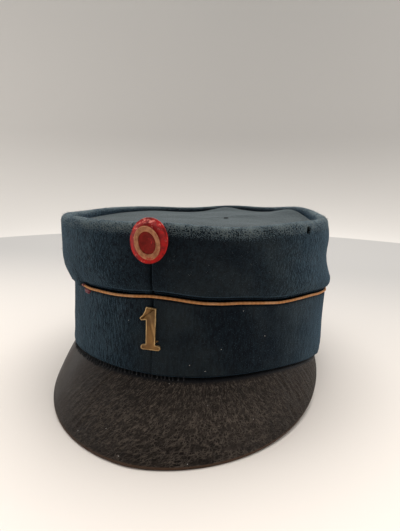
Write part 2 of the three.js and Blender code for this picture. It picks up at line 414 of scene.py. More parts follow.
def head_place(angles, sections):
    """Places corners given as (proud, height, ...) round the head, with the cloth's relief and the seam."""

    def place(column, corner):
        angle = angles[column]
        proud, height = sections[column][corner][:2]
        ground = on_head(angle, 0, height)
        seam, _ = seam_relief(angle, height)
        return settle(on_head(angle, proud + relief(ground) + seam, height))

    return place


def mark_cloth(bm, angles, sections, nap_rises):
    """The worn, grooved and napped shares that the wool reads. The groove share is painted shade in the seam,
    under the folded and tucked edges and in creases. The nap is rubbed flat at the front, stands again past
    the angles in nap_rises, and lies down at the back; as it lightens the cloth, the raised sides are partly
    painted light."""
    flat, laid = NAP["flat"], NAP["laid"]

    def nap(column, corner):
        turn = turn_between(angles[column], 0)
        left, right = [
            (height - flat) * smooth((aside - start) / (full - start))
            for aside, (start, full, height) in zip((-turn, turn), nap_rises)
        ]
        towards_back = smooth((abs(turn) - NAP["laid_past"]) / NAP["laid_over"])
        return (flat + left + right) * (1 - laid * towards_back)

    mark(bm, "nap", nap)
    mark(bm, "worn", lambda column, corner: sections[column][corner][2])
    mark(bm, "groove", lambda column, corner: max(
        seam_relief(angles[column], sections[column][corner][1])[1], sections[column][corner][3]
    ))


def band_section(angle):
    """The band: straight outside with a turned-up lower edge, folded at both edges."""
    fold = WOOL / 2
    lifted = 0.8 * smooth((75 - abs(turn_between(angle, 0))) / 20)
    low = edge_height(angle) + fold + lifted
    top = piping_height(angle) - PIPING_RADIUS - GAP - fold
    curl = waves(CURL_WAVES, angle)

    def proud(height):
        turned_up = 0.4 * bell(height - low - 1.6, 1.5)
        return turned_up - curl * (1 - smooth((height - low) / 7))

    # The folds carry painted shade: half at the top fold under the piping, full at the lower fold over the
    # visor.
    return (
        [(proud(height), height, 0.0, 0.0) for height in shares(30, low, top)]
        + folded_edge(proud(top) - fold, top, 0, 0.5)
        + [(proud(height) - WOOL, height, 0.0, 0.0) for height in shares(12, top, low)]
        + folded_edge(proud(low) - fold, low, 180, 1.0)
    )


def build_band(wool):
    angles = head_columns(*CLOTH_STEPS)
    sections = [band_section(angle) for angle in angles]
    bm = spun(sections, head_place(angles, sections))
    mark_cloth(bm, angles, sections, NAP["band"])
    piece("band_cloth", bm, [wool], ["band"])


def crown_section(angle):
    """The crown: a swelling wall, a rolled rim that turns down inside, and a folded lower edge that sags
    over the piping at one side."""
    fold = WOOL / 2
    turn = turn_between(angle, 0)
    sag = smooth((SAG["start"] - turn) / (SAG["start"] - SAG["full"])) * smooth((turn - SAG["ends"]) / 25)
    low = piping_height(angle) + PIPING_RADIUS + GAP + waves(LIP_WAVES, angle) - SAG["drop"] * sag + fold
    high = rim_height(angle) - RIM["roll_height"]
    half = RIM["roll_width"] / 2
    crest = swell(1, angle) - half
    hem = high - RIM["sink"] + RIM["roll_height"] - WOOL - 2 * GAP

    def wall(rise, inset):
        tucked = (1 - smooth(rise * (high - low) / TUCK["height"])) * (1 - sag)
        worn = WEAR["wall"] * smooth((rise - WEAR["from"]) / (1 - WEAR["from"]))
        lip = SAG["out"] * sag * (1 - smooth(rise / 0.3)) - TUCK["depth"] * tucked
        # The tucked share is also painted shade on the lip that turns in above the piping.
        return swell(rise, angle) + lip - inset, lerp(low, high, rise), worn, tucked

    def roll(turn, inset):
        swing = math.radians(turn)
        worn = lerp(WEAR["wall"], 1, smooth(turn / 60)) - WEAR["inner"] * smooth((turn - 115) / 45)
        # Painted shade on the roll's inner side, as it turns down to the sunken top.
        groove = smooth((turn - 152) / 22)
        height = high + (RIM["roll_height"] - inset) * math.sin(swing)
        return crest + (half - inset) * math.cos(swing), height, worn, groove

    lip_proud = wall(0, 0)[0]
    rises = [share ** 1.4 for share in shares(42)]
    return (
        [wall(rise, 0) for rise in rises]
        + [roll(turn, 0) for turn in shares(15, 12, 180)]
        # The inner drop to the sunken top and the folded lower edge are painted full shade.
        + [(crest - half, lerp(high, hem, share), 0.0, 1.0) for share in (0.35, 0.7, 1)]
        + [(crest - half + WOOL, hem, 0.0, 0.0)]
        + [roll(turn, WOOL) for turn in shares(7, 180, 30)]
        + [wall(rise, WOOL) for rise in shares(14, 1, 0)]
        + folded_edge(lip_proud - fold, low, 180, 1.0)
    )


def build_crown(wool, shadow):
    angles = head_columns(*CLOTH_STEPS)
    sections = [crown_section(angle) for angle in angles]
    bm = spun(sections, head_place(angles, sections))
    mark_cloth(bm, angles, sections, NAP["crown"])
    pierce(bm)
    piece("crown_cloth", bm, [wool, shadow], ["crown"])


def pierce(bm):
    """Cuts the faces about each moth hole finer and presses the hole into the cloth. Its floor takes the
    second material, a near-black painted shadow, and its hole share paints the wool darker as shade."""
    hole_layer = bm.verts.layers.float.new("hole")
    for hole in HOLES:
        centre = settle(on_head(hole["angle"], swell(HOLE_RISE, hole["angle"]), hole["height"]))
        reach = 2 * hole["radius"] * MM
        for _ in range(3):
            near = [edge for edge in bm.edges if (edge.verts[0].co - centre).length < reach]
            bmesh.ops.subdivide_edges(bm, edges=near, cuts=1, use_grid_fill=True)
        inward = -(settle(outward_normal(hole["angle"])) - settle(Vector())).normalized()
        for vert in bm.verts:
            offset = vert.co - centre
            along = offset.dot(inward)
            away = (offset - inward * along).length / MM
            if away < 2 * hole["radius"] and abs(along) < HOLE_REACH * MM:
                inside = 1 - smooth((away / hole["radius"] - 0.75) / 0.3)
                vert.co += inward * hole["depth"] * inside * MM
                vert[hole_layer] = inside
    # Faces deep in a hole take the painted shadow material.
    for face in bm.faces:
        if min(vert[hole_layer] for vert in face.verts) > 0.2:
            face.material_index = 1


def build_crown_top(top_wool):
    """The sunken top: a disc of cloth with a folded edge, a little slack towards its middle."""
    angles = head_columns(2.0, 1.0)
    rows = [(share, WOOL) for share in shares(22)]
    rows += [(1.0, WOOL * 0.5)]
    rows += [(share, 0.0) for share in shares(14, 1, 0.955)]
    rows += [(share, 0.0) for share in shares(40, 0.94, 0)]
    sections = [rows] * len(angles)
    middle = Vector((0, 0, lerp(RIM["front"], RIM["back"], 0.5)))

    def place(column, corner):
        share, depth = rows[corner]
        angle = angles[column]
        edge = on_head(angle, swell(1, angle) - RIM["roll_width"] - GAP, rim_height(angle))
        point = middle.lerp(edge, share)
        slack = 0.8 * noise.noise(Vector((point.x, point.y, 0)) / 31) * smooth((1 - share) / 0.25)
        crease = 1.3 * bell((1 - share) * TOP_RADIUS, 1.0)
        lift = waves(TOP_WAVES, angle) * smooth((share - 0.72) / 0.26)
        point.z += slack + lift + 0.4 * relief(point) - RIM["sink"] - depth - crease
        return settle(point)

    bm = spun(sections, place, closed_section=False)
    mark(bm, "worn", lambda column, corner: 0.5 * smooth((rows[corner][0] - 0.86) / 0.14))
    mark(bm, "nap", lambda column, corner: 0.5)
    # Painted shade in the crease round the disc's edge, where it meets the rim.
    mark(bm, "groove", lambda column, corner: smooth((rows[corner][0] - 0.974) / 0.014))
    piece("crown_top_cloth", bm, [top_wool], ["crown_top"], weld=0.01 * MM)


# ---------------------------------------------------------------- piping, stitches and other trim


def piping_centre(angle):
    """Where the piping's core runs, as (proud, height), with a little wander."""
    wander = Vector((math.sin(math.radians(angle)), math.cos(math.radians(angle)), 0)) * 9
    proud = 0.1 + 0.2 * noise.noise(wander)
    return proud, piping_height(angle) + 0.18 * noise.noise(wander + Vector((5, 5, 5)))


def build_piping(cord_material):
    """The piping: a smooth cord of three strands that turn once in three times their lay."""
    columns, sides = 1080, 12
    lay = 3.2
    angles = [360 * column / columns for column in range(columns)]
    sections = [[(0.0, 0.0, 0.0)] * sides] * columns
    turns = round(math.tau * HEAD_RADIUS / (3 * lay))

    def place(column, corner):
        proud, height = piping_centre(angles[column])
        swing = math.tau * corner / sides
        strand = abs(math.cos(1.5 * (swing - math.tau * turns * column / columns)))
        radius = PIPING_RADIUS * (0.96 + 0.05 * strand)
        proud += radius * math.cos(swing)
        return settle(on_head(angles[column], proud, height + radius * math.sin(swing)))

    bm = spun(sections, place)
    piece("piping_cord", bm, [cord_material], ["piping"])


def add_tube(bm, route, radius, sides, taper):
    """Adds a tube with tapered, closed ends along a route, in metres, to a bmesh."""
    frames = []
    for index, point in enumerate(route):
        before, after = route[max(index - 1, 0)], route[min(index + 1, len(route) - 1)]
        facing = (after - before).to_track_quat("Z", "Y").to_matrix().to_4x4()
        width = taper if index in (0, len(route) - 1) else 1.0
        frames.append(Matrix.Translation(point) @ facing @ Matrix.Scale(width, 4))
    ring = bmesh.ops.create_circle(bm, segments=sides, radius=radius, cap_ends=True, matrix=frames[0])
    edges = list({edge for vert in ring["verts"] for edge in vert.link_edges})
    for before, after in zip(frames, frames[1:]):
        made = bmesh.ops.extrude_edge_only(bm, edges=edges)["geom"]
        verts = [part for part in made if isinstance(part, bmesh.types.BMVert)]
        fresh = set(verts)
        edges = [part for part in made if isinstance(part, bmesh.types.BMEdge) and set(part.verts) <= fresh]
        bmesh.ops.transform(bm, matrix=after @ before.inverted(), verts=verts)
    bmesh.ops.edgeloop_fill(bm, edges=edges)


def build_red_end(red_cloth):
    """A scrap of red cloth wound round the piping's end, with a frayed patch tucked under it."""
    bm = bmesh.new()
    wound = [settle(on_head(angle, *piping_centre(angle))) for angle in shares(6, -35.2, -33.6)]
    add_tube(bm, wound, (PIPING_RADIUS + 0.15) * MM, 12, 0.8)
    for lower, start, end in ((1.7, -33.6, -29.2), (2.6, -32.9, -30.0)):
        patch = [settle(on_head(angle, 0.0, piping_height(angle) - lower)) for angle in shares(8, start, end)]
        add_tube(bm, patch, 0.7 * MM, 10, 0.35)
    piece("red_cloth_end", bm, [red_cloth])


# ---------------------------------------------------------------- visor


def leather_relief(angle, along, down):
    """Waves and folds of old leather, in millimetres, at a place along the head and down the slope. The
    folds lean one way in the middle and the other way on the +X side."""
    broad = 0.35 * uneven(along / 34, down / 26, 2)
    lean = lerp(0.55, -0.45, smooth((angle + 10) / 60))
    leaning = along + lean * down
    fold = uneven(leaning / 2.6, down / 11, 8) + 0.5 * uneven(leaning / 1.3, down / 6, 5)
    middle = 1 - 0.93 * smooth((-angle - 16) / 18)
    return broad + 0.34 * middle * fold


# The visor's rows down its slope, under it and round its edge.
VISOR_ROWS = {"slope": 84, "under": 16, "edge": 10}


def visor_section(angle):
    """A closed section of the visor: a flange inside the band, a shoulder, the slope, a rounded edge and
    the underside. Every corner is (proud, height, share of the way to the edge)."""
    share = abs(angle) / VISOR["half_angle"]
    tucked = smooth((share - 0.8) / 0.17)
    inside = -WOOL - 0.5
    spread = 1 - share ** VISOR_ROUNDNESS["reach"]
    reach = lerp(VISOR["end_reach"], VISOR["reach"], spread) + waves(VISOR_WAVES, angle) * spread
    drop = lerp(VISOR["end_drop"], VISOR["drop"], 1 - share ** VISOR_ROUNDNESS["drop"])
    neck = max(edge_height(angle) - GAP - 0.1, 0.8 - drop)
    shoulder = Vector((lerp(-0.4, inside - 0.1, tucked), neck))
    edge = Vector((reach, -drop))
    length = (edge - shoulder).length
    along = (edge - shoulder) / length
    outward = Vector((-along.y, along.x))
    radius = LEATHER / 2
    stop = 1 - min(radius / length, 0.6)

    def slope(way, inset):
        way *= stop
        bow = VISOR["bow"] * (1 - share) * 4 * way * (1 - way)
        fade = smooth(way * length / 4) * (1 - smooth((way / stop - 0.9) / 0.1))
        worn = leather_relief(angle, math.radians(angle) * VISOR_RADIUS, way * length)
        point = shoulder.lerp(edge, way) + outward * (bow + fade * worn - inset)
        return point.x, point.y, way

    centre = Vector(slope(1, radius)[:2])
    rounded = []
    for turn in shares(VISOR_ROWS["edge"], 90, -90)[1:-1]:
        swing = math.radians(turn)
        point = centre + along * radius * math.cos(swing) + outward * radius * math.sin(swing)
        rounded.append((point.x, point.y, 1.0))
    top = neck + 0.2 + VISOR["flange"]
    return (
        [(inside, top, 0.0), (inside, lerp(top, neck, 0.5), 0.0), (inside, neck + 0.2, 0.0)]
        + [slope(way, 0) for way in shares(VISOR_ROWS["slope"])]
        + rounded
        + [slope(way, LEATHER) for way in shares(VISOR_ROWS["under"], 1, 0)]
        + [(inside - LEATHER, neck + 0.2, 0.0), (inside - LEATHER, top, 0.0)]
    )


def visor_point(angle, corner):
    """Where a corner of the visor's section lies, in metres. It may be below the band."""
    point = on_head(angle, corner[0], 0)
    point.z = corner[1]
    return settle(point)


def build_visor(leather):
    columns = 640
    angles = shares(columns, -VISOR["half_angle"], VISOR["half_angle"])
    sections = [visor_section(angle) for angle in angles]

    def place(column, corner):
        return visor_point(angles[column], sections[column][corner])

    bm = spun(sections, place, sweep=2 * VISOR["half_angle"], radius=VISOR_RADIUS)
    column_layer = bm.verts.layers.int["column"]
    mark(bm, "edge", lambda column, corner: sections[column][corner][2])
    for end in (0, columns - 1):
        rim = [
            edge
            for edge in bm.edges
            if edge.is_boundary and all(vert[column_layer] == end for vert in edge.verts)
        ]
        bmesh.ops.edgeloop_fill(bm, edges=rim)
    piece("visor_leather", bm, [leather], ["visor"])


def on_visor(angle, way):
    """A point on the visor's upper face, in metres."""
    row = 3 + round(way * (VISOR_ROWS["slope"] - 1))
    return visor_point(angle, visor_section(angle)[row])


# The stitches that show: the angles between which they lie, and where they start to be hidden.
STITCHES = {"start": -50.0, "end": 12, "hidden_from": -10}


def build_visor_stitches(thread):
    """The stitches that sew the visor in: short threads out of the band's lower edge over the leather."""
    rng = random.Random(4)
    bm = bmesh.new()
    angle = STITCHES["start"]
    while angle < STITCHES["end"]:
        lean = rng.uniform(-0.35, 0.35)
        shows = lerp(0.1, 1.0, smooth((STITCHES["hidden_from"] - angle) / 10))
        reach = rng.uniform(0.035, 0.07) * shows
        start = settle(on_head(angle, -0.3, edge_height(angle) + 1.4))
        middle = on_visor(angle + lean / 2, 0.01) + Vector((0, 0, 0.25 * MM))
        end = on_visor(angle + lean, 0.01 + reach) - Vector((0, 0, 0.12 * MM))
        lifted = middle.lerp(end, 0.5) + Vector((0, 0, 0.22 * MM))
        add_tube(bm, [start, middle, lifted, end], 0.29 * MM, 6, 0.6)
        angle += rng.uniform(1.3, 1.9)
    piece("visor_stitches", bm, [thread])


# ---------------------------------------------------------------- badges


def seam_frame(lower, upper, aside, lean=0.0):
    """The frame of a badge on the front seam: +X across, +Y up the seam, +Z outward, in metres."""
    up = (upper - lower).normalized()
    right = Vector((1, 0, 0))
    outward = right.cross(up)
    basis = Matrix((right, up, outward)).transposed().to_4x4()
    return Matrix.Translation(lower + right * aside * MM) @ basis @ Matrix.Rotation(lean, 4, "Z")


def crown_front(height):
    low = piping_height(0)
    rise = (height - low) / (rim_height(0) - RIM["roll_height"] - low)
    return settle(on_head(0, swell(rise, 0) + 0.9, height))


def turned(profile, columns, frame_matrix, size, bumps, lean=0.0):
    """Turns a profile of (radius share, depth) about a badge's axis into an oval of (width, height)."""
    closed = profile[0] == profile[-1]
    rows = profile[:-1] if closed else profile
    sections = [rows] * columns
    tilt = Matrix.Translation((0, -RING_DROP if lean else 0, 0)) @ Matrix.Rotation(lean, 4, "Z")

    def place(column, corner):
        share, depth = rows[corner][:2]
        turn = math.tau * column / columns
        across, up = share * size[0] / 2, share * size[1] / 2
        point = Vector((across * math.sin(turn), up * math.cos(turn), depth))
        point += bumps(point, turn, share)
        return frame_matrix @ (tilt @ point * MM)

    bm = spun(sections, place, closed_section=closed, radius=size[0] / 2)
    if not closed:
        bmesh.ops.remove_doubles(bm, verts=bm.verts[:], dist=0.001 * MM)
    return bm


# The ovals of the cockade and its ring, as (width, height), and how the ring leans and drops in it.
COCKADE_OVAL = (COCKADE["width"], COCKADE["height"])
RING_OVAL = (11.5, 15.4)
RING_LEAN = math.radians(18)
RING_DROP = 1.3


def cockade_frame():
    lower, upper = crown_front(COCKADE["level"]), crown_front(COCKADE["level"] + 4)
    return seam_frame(lower, upper, COCKADE["aside"], COCKADE["lean"])


def build_cockade(red, cream, dark_red):
    """The cockade's three layers: a red oval with a wide sloping flank, a raised ring that leans a little
    more, with the marks of a rope edge, and a dished middle."""
    place = cockade_frame()

    def hand_made(point, turn, share):
        dent = uneven(point.x / 3.2, point.y / 3.2, 1)
        chip = uneven(point.x / 0.9, point.y / 0.9, 4)
        return Vector((0, 0, 0.14 * dent + 0.05 * chip)) * smooth(share * 3)

    flank = [(0.0, 0.0), (0.94, 0.0), (0.985, 0.12), (1.0, 0.45), (0.995, 0.8), (0.965, 1.15)]
    for share in shares(14, 0.94, 0.64):
        flank.append((share, 1.15 + 2.15 * smooth((0.965 - share) / 0.33) ** 0.8))
    flank += [(0.5, 3.2), (0.25, 3.1), (0.0, 3.1)]
    body = turned(flank, 120, place, COCKADE_OVAL, hand_made)
    mark(body, "edge", lambda column, corner: flank[corner][0] if corner > 1 else 1.0)
    piece("cockade_body", body, [red], ["cockade"])

    def rope(point, turn, share):
        strand = math.sin(46 * turn + 9 * share) * bell(share - 0.86, 0.12)
        worn = uneven(point.x / 1.3, point.y / 1.3, 2)
        return Vector((0, 0, 0.07 * strand + 0.12 * worn))

    ring = [(0.67, 3.0), (1.0, 3.0), (1.02, 3.35), (0.99, 3.75), (0.95, 3.92), (0.9, 3.86), (0.84, 3.8)]
    ring += [(0.79, 3.84), (0.74, 3.8), (0.7, 3.6), (0.68, 3.3), (0.67, 3.0)]
    made = turned(ring, 240, place, RING_OVAL, rope, RING_LEAN)
    piece("cockade_ring", made, [cream])

    dish = [(0.0, 2.9), (0.98, 2.9), (1.0, 3.15), (0.97, 3.36), (0.9, 3.42)]
    for share in shares(12, 0.82, 0.0):
        dish.append((share, 3.42 - 0.22 * math.sin(math.pi * (0.9 - share) / 1.8)))
    middle = turned(dish, 96, place, (RING_OVAL[0] * 0.7, RING_OVAL[1] * 0.7), hand_made, RING_LEAN)
    piece("cockade_middle", middle, [dark_red])


# The numeral's corners: (across, up, radius of the rounding).
NUMERAL_OUTLINE = (
    (-4.9, 0.0, 1.1),
    (4.9, 0.0, 1.1),
    (4.9, 2.4, 1.1),
    (2.3, 2.7, 0.2),
    (2.5, 20.4, 0.3),
    (-2.4, 20.9, 0.3),
    (-2.9, 19.0, 0.4),
    (-3.9, 17.0, 0.4),
    (-5.7, 15.1, 0.25),
    (-4.8, 14.1, 0.25),
    (-2.4, 14.5, 0.25),
    (-2.4, 2.7, 0.2),
    (-4.9, 2.4, 1.1),
)


def numeral_frame():
    lower = settle(on_head(0, 0.7, NUMERAL["level"]))
    upper = settle(on_head(0, 0.7, NUMERAL["level"] + 10))
    return seam_frame(lower, upper, NUMERAL["aside"])


def bevel(bm, geom, offset, affect, segments):
    bmesh.ops.bevel(
        bm, geom=geom, offset=offset, offset_type="OFFSET", affect=affect, segments=segments,
        profile=0.5, material=-1,
    )


def build_numeral(brass):
    """The numeral: a plate with rounded corners and a bevelled front, and the end of a bent prong."""
    thickness, chamfer = 1.0, 0.32
    bm = bmesh.new()
    line = open_line(bm, [Vector((x, y, 0)) for x, y, _ in NUMERAL_OUTLINE])
    bmesh.ops.contextual_create(bm, geom=[line[-1], line[0]])
    bmesh.ops.edgeloop_fill(bm, edges=bm.edges[:])
    for x, y, rounding in NUMERAL_OUTLINE:
        corner = min(bm.verts, key=lambda vert: (vert.co - Vector((x, y, 0))).length)
        bevel(bm, [corner], rounding, "VERTICES", 4)
    raised = bmesh.ops.extrude_face_region(bm, geom=bm.faces[:])["geom"]
    lid = [part for part in raised if isinstance(part, bmesh.types.BMVert)]
    bmesh.ops.translate(bm, vec=(0, 0, thickness), verts=lid)
    rim = [edge for edge in bm.edges if all(vert.co.z > thickness / 2 for vert in edge.verts)]
    bevel(bm, rim, chamfer, "EDGES", 3)
    # The share is 1 on the bevels and sides and 0 on the flat front: rubbed brass, and a painted highlight on
    # the bevels.
    rub_and_glint_layer = bm.verts.layers.float.new("rub_and_glint")
    for vert in bm.verts:
        vert[rub_and_glint_layer] = 1.0
    front = [face for face in bm.faces if face.calc_center_median().z > thickness - 0.01]
    bmesh.ops.inset_region(bm, faces=front, thickness=0.28, depth=-0.04)
    for face in front:
        for vert in face.verts:
            vert[rub_and_glint_layer] = 0.0
    bmesh.ops.triangulate(bm, faces=[face for face in bm.faces if len(face.verts) > 4])
    place = numeral_frame() @ Matrix.Scale(MM, 4)
    bmesh.ops.transform(bm, matrix=place, verts=bm.verts)
    prong = ((1.9, 3.7, 0.1), (2.6, 4.3, 0.25), (3.2, 4.6, 0.3), (3.7, 4.5, 0.1))
    add_tube(bm, [place @ Vector(point) for point in prong], 0.42 * MM, 8, 0.6)
    piece("numeral_1_brass", bm, [brass], ["numeral_1"])


def build_numeral_threads(thread):
    """Two ends of the thread that holds the numeral, just under its foot."""
    bm = bmesh.new()
    for aside in (0.9, 2.2):
        angle = math.degrees(aside / BAND["half_width"])
        route = [settle(on_head(angle, 0.35 - 0.1 * step, 12.6 - 0.55 * step)) for step in range(4)]
        add_tube(bm, route, 0.25 * MM, 6, 0.6)
    piece("numeral_threads", bm, [thread])


# ---------------------------------------------------------------- knot, lint and loose fibres


# Where the knot lies in the resting frame, and how its three loops are turned.
KNOT = {"place": (15.1, 15.3, 93.9), "turns": (0.0, 1.1, 2.3)}


def build_knot(thread):
    """A dark knot of thread in the middle of the sunken top."""
    centre = Vector(KNOT["place"]) * MM
    bm = bmesh.new()
    for turn in KNOT["turns"]:
        route = []
        for step in range(9):
            swing = turn + 2.6 * step / 8
            aside = Vector((1.3 * math.cos(swing), 0.9 * math.sin(swing), 0.35 * math.sin(step)))
            route.append(centre + aside * MM)
        add_tube(bm, route, 0.32 * MM, 8, 0.5)
    piece("top_knot", bm, [thread])


# Specks of lint: on the visor as (angle, way to the edge), on the band as (angle, height).
VISOR_LINT = (
    (-17.6, 0.9),
    (-3.3, 0.95),
    (12.8, 0.97),
    (5.9, 0.06),
    (-24, 0.5),
    (31, 0.62),
    (18, 0.34),
    (-9, 0.72),
)
BAND_LINT = ((12.3, 7.0), (29.3, 33.6), (17.5, 4.2), (-9.5, 26.0), (38.0, 20.5), (22.5, 15.0))


def build_lint(lint):
    """Pale specks of lint, each a tiny uneven crumb."""
    rng = random.Random(11)
    bm = bmesh.new()
    places = [on_visor(angle, way) for angle, way in VISOR_LINT]
    places += [settle(on_head(angle, 0.25, height)) for angle, height in BAND_LINT]
    for place in places:
        size = rng.uniform(0.13, 0.23) * MM
        made = bmesh.ops.create_icosphere(bm, subdivisions=1, radius=size)["verts"]
        for vert in made:
            vert.co *= rng.uniform(0.75, 1.25)
        turn = Matrix.Rotation(rng.uniform(0, math.tau), 4, "Z")
        flattened = turn @ Matrix.Diagonal((1.5, 1, 0.8, 1))
        bmesh.ops.transform(bm, matrix=Matrix.Translation(place) @ flattened, verts=made)
    piece("lint_specks", bm, [lint])


# The loose fibres are made in tufts, as a small mesh grows faster than a large one. Most of them stand on
# the crest, and the rest on the wall from a share of its rise.
NAP_FIBRES = {"tufts": 65, "in_each": 40, "on_crest": 0.85, "wall_from": 0.3, "radius": 0.035}


def build_nap(fibre):
    """Short loose fibres that stand off the rim and the rest of the crown, thickest on the worn crest."""
    rng = random.Random(7)
    whole = bmesh.new()
    tuft_mesh = bpy.data.meshes.new("tuft")
    for _ in range(NAP_FIBRES["tufts"]):
        tuft = bmesh.new()
        for _ in range(NAP_FIBRES["in_each"]):
            add_nap_fibre(tuft, rng)
        tuft.to_mesh(tuft_mesh)
        tuft.free()
        whole.from_mesh(tuft_mesh)
    bpy.data.meshes.remove(tuft_mesh)
    piece("nap_fibres", whole, [fibre])


def add_nap_fibre(bm, rng):
    """Adds one fibre, with its foot in the cloth."""
    angle = rng.uniform(-180, 180)
    on_crest = rng.random() < NAP_FIBRES["on_crest"]
    if on_crest:
        swing = math.radians(rng.gauss(55, 38))
        crest = swell(1, angle) - RIM["roll_width"] / 2
        proud = crest + RIM["roll_width"] / 2 * math.cos(swing)
        height = rim_height(angle) - RIM["roll_height"] + RIM["roll_height"] * math.sin(swing)
        facing = Vector((math.cos(swing), math.sin(swing)))
    else:
        rise = rng.uniform(NAP_FIBRES["wall_from"], 1)
        proud = swell(rise, angle)
        height = lerp(piping_height(angle) + 2, rim_height(angle) - RIM["roll_height"], rise)
        facing = Vector((1, 0))
    ground = on_head(angle, 0, height)
    seam, _ = seam_relief(angle, height)
    foot = on_head(angle, proud + relief(ground) + seam - 0.12, height)
    normal = outward_normal(angle) * facing.x + Vector((0, 0, facing.y))
    stray = Vector([rng.uniform(-1, 1) for _ in range(3)])
    length = rng.uniform(0.5, 1.15)
    middle = foot + (normal + stray * 0.7) * length * 0.5
    tip = middle + (normal * 0.2 + stray) * length * 0.5
    route = [settle(point) for point in (foot, middle, tip)]
    add_tube(bm, route, NAP_FIBRES["radius"] * MM, 3, 0.5)


# ---------------------------------------------------------------- shader groups and materials


def feed(tree, node, values):
    """Links the values that are sockets to a node's inputs, and sets the others on them."""
    for name, value in values.items():
        if isinstance(value, bpy.types.NodeSocket):
            tree.links.new(value, node.inputs[name])
        else:
            node.inputs[name].default_value = value


def add(tree, kind, values=None, **settings):
    """Adds a node, makes its settings and then feeds its inputs."""
    node = tree.nodes.new(kind)
    for name, value in settings.items():
        setattr(node, name, value)
    feed(tree, node, values or {})
    return node


def solid_place(tree):
    """A point's place in the object."""
    return add(tree, "ShaderNodeTexCoord").outputs["Object"]


def surface_place(tree):
    """A point's place along and across the surface, in metres."""
    return add(tree, "ShaderNodeUVMap", uv_map="UVMap").outputs["UV"]


def axes(tree, vector):
    return add(tree, "ShaderNodeSeparateXYZ", {"Vector": vector}).outputs


def attribute(tree, name):
    return add(tree, "ShaderNodeAttribute", attribute_name=name, attribute_type="GEOMETRY").outputs["Fac"]


def stretch(tree, vector, scale, turn=0.0):
    """Scales a pattern's coordinates, and turns them in their first two directions."""
    values = {"Vector": vector, "Scale": scale, "Rotation": (0.0, 0.0, turn)}
    return add(tree, "ShaderNodeMapping", values).outputs["Vector"]


def grain(tree, vector, scale, detail=3.0, roughness=0.6):
    """A noise texture's factor."""
    values = {"Vector": vector, "Scale": scale, "Detail": detail, "Roughness": roughness}
    return add(tree, "ShaderNodeTexNoise", values).outputs["Fac"]


def cells(tree, vector, scale, feature):
    """The distance that a cell pattern measures."""
    values = {"Vector": vector, "Scale": scale}
    return add(tree, "ShaderNodeTexVoronoi", values, feature=feature).outputs["Distance"]


def twist(tree, vector, scale, distortion):
    """The slanting bands of twisted thread."""
    values = {"Vector": vector, "Scale": scale, "Distortion": distortion}
    return add(tree, "ShaderNodeTexWave", values, bands_direction="DIAGONAL").outputs["Fac"]


def between(tree, value, low, high, to_low=0.0, to_high=1.0):
    """Maps a value smoothly from one range to another."""
    values = {"Value": value, "From Min": low, "From Max": high, "To Min": to_low, "To Max": to_high}
    return add(tree, "ShaderNodeMapRange", values, interpolation_type="SMOOTHSTEP").outputs["Result"]


def calc(tree, operation, first, second):
    return add(tree, "ShaderNodeMath", {0: first, 1: second}, operation=operation).outputs["Value"]


def times(tree, first, second):
    return calc(tree, "MULTIPLY", first, second)


def plus(tree, first, second):
    return calc(tree, "ADD", first, second)


def most(tree, first, second):
    return calc(tree, "MAXIMUM", first, second)


def blend(tree, share, first, second):
    """A mix of two colours."""
    return add(tree, "ShaderNodeMix", {0: share, 6: first, 7: second}, data_type="RGBA").outputs[2]


def shader_group(name, inputs, outputs):
    """A new node group with named sockets, and its input and output nodes."""
    tree = bpy.data.node_groups.new(name, "ShaderNodeTree")
    for direction, sockets in (("INPUT", inputs), ("OUTPUT", outputs)):
        for socket, kind in sockets.items():
            tree.interface.new_socket(socket, in_out=direction, socket_type=f"NodeSocket{kind}")
    return tree, tree.nodes.new("NodeGroupInput").outputs, tree.nodes.new("NodeGroupOutput")


def wool_group():
    """Felted wool: brushed streaks over a mottled ground, a little thicker fuzz where it is worn."""
    inputs = {"Vector": "Vector"}
    inputs |= dict.fromkeys(("Shade", "Light", "Dust"), "Color") | dict.fromkeys(("Worn", "Nap"), "Float")
    outputs = {"Color": "Color", "Height": "Float", "Roughness": "Float"}
    tree, given, result = shader_group("felted_wool", inputs, outputs)
    fine = grain(tree, stretch(tree, given["Vector"], (1.0, 0.36, 1.0)), 900, 3, 0.6)
    coarse = grain(tree, stretch(tree, given["Vector"], (1.0, 0.42, 1.0), -0.2), 430, 3, 0.65)
    streaks = times(tree, plus(tree, fine, coarse), 0.5)
    fuzz = grain(tree, given["Vector"], 1220, 2, 0.75)
    patches = grain(tree, given["Vector"], 42, 3, 0.55)
    # The nap share lifts the streaks towards the light colour: real nap, and painted side light where the nap
    # is set high.
    brushed = times(tree, between(tree, streaks, 0.43, 0.57), given["Nap"])
    ground = blend(tree, brushed, given["Shade"], given["Light"])
    mottled = blend(tree, between(tree, patches, 0.35, 0.68, 0.0, 0.45), ground, given["Shade"])
    patchy = between(tree, grain(tree, given["Vector"], 120, 2), 0.3, 0.7, 0.13, 0.255)
    raised = plus(tree, fuzz, times(tree, given["Worn"], patchy))
    grains = between(tree, raised, 0.6, 0.7)
    pale = times(tree, grains, between(tree, given["Worn"], 0.0, 0.6, 0.12, 1.0))
    tufts = times(tree, grains, between(tree, given["Worn"], 0.0, 0.5, 0.1, 0.7))
    raised_nap = times(tree, streaks, times(tree, given["Nap"], 1.6))
    finished = {
        "Color": blend(tree, pale, mottled, given["Dust"]),
        "Height": plus(tree, raised_nap, tufts),
        "Roughness": between(tree, patches, 0.3, 0.7, 0.82, 0.98),
    }
    feed(tree, result, finished)
    return tree


